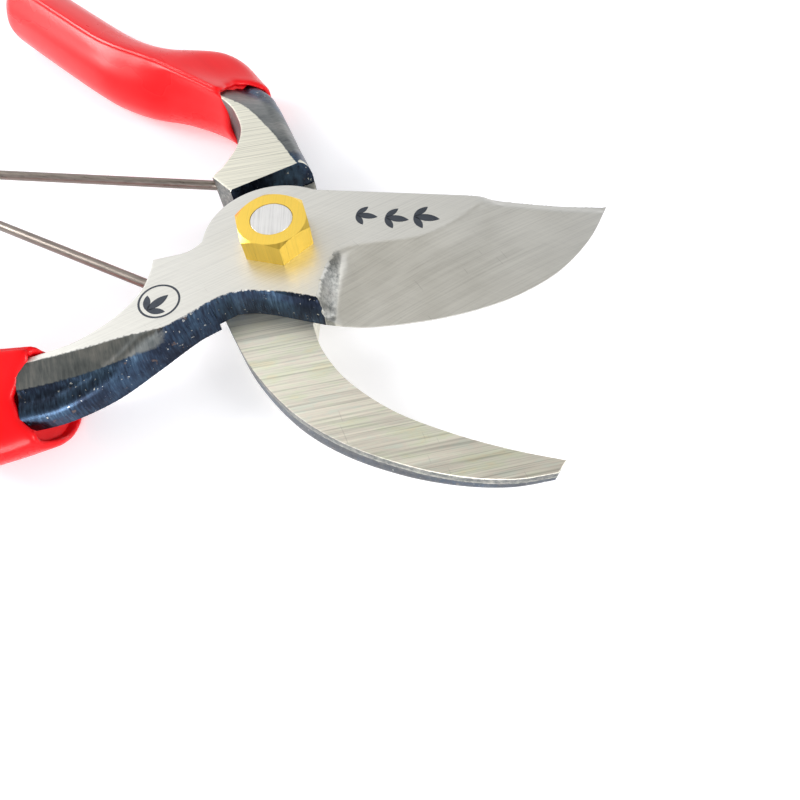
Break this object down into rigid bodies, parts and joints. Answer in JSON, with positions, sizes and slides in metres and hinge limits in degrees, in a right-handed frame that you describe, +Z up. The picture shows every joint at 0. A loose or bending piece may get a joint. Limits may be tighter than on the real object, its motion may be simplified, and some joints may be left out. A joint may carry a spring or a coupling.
{
  "type": "pruning shears",
  "caption": "Forged bypass pruning shears with a brass pivot nut, a bent wire return spring and red vinyl grips, lying open.",
  "frame": {"origin": "on the pivot axis, at the underside of the bolt head", "axes": "+X along the blade's spine towards its point, +Z up through the nut, +Y to the left of the blade"},
  "size_m": [0.1899, 0.1512, 0.0198],
  "materials": {
    "blade_steel": "ground, with black forge scale on the sides",
    "hook_steel": "coarse ground, with black forge scale on the sides",
    "bolt_steel": "brushed",
    "nut_brass": "fine turned",
    "spring_steel": "drawn wire, dull brown-grey",
    "grip_vinyl": "glossy dipped vinyl"
  },
  "bodies": {
    "cutting_side": {"cutting_half": "blade_steel", "pivot_bolt": "bolt_steel", "pivot_nut": "nut_brass", "cutting_grip": "grip_vinyl"},
    "counter_side": {"counter_half": "hook_steel", "counter_grip": "grip_vinyl"},
    "spring_bend_side": {"spring_bend_leg": "spring_steel"},
    "spring_plain_side": {"spring_plain_leg": "spring_steel"}
  },
  "joints": [
    {"name": "blade_pivot", "type": "hinge", "parent": "cutting_side", "child": "counter_side", "pos_m": [0, 0, 0.009], "axis": [0, 0, 1], "range_deg": [0, 52.5], "stiffness_Nm_per_rad": 1.6, "springref_deg": -5.73},
    {"name": "spring_seat", "type": "hinge", "parent": "cutting_side", "child": "spring_bend_side", "pos_m": [-0.02148, -0.00948, 0.012], "axis": [0, 0, 1], "range_deg": [0, 34.8]},
    {"name": "spring_bend", "type": "hinge", "parent": "spring_bend_side", "child": "spring_plain_side", "pos_m": [-0.08337, 0.01658, 0.012], "axis": [0, 0, 1], "range_deg": [-17.1, 0]}
  ],
  "couplings": [
    {"joint": "spring_seat", "follows": "blade_pivot", "ratio": 0.6622},
    {"joint": "spring_bend", "follows": "blade_pivot", "ratio": -0.3244}
  ]
}
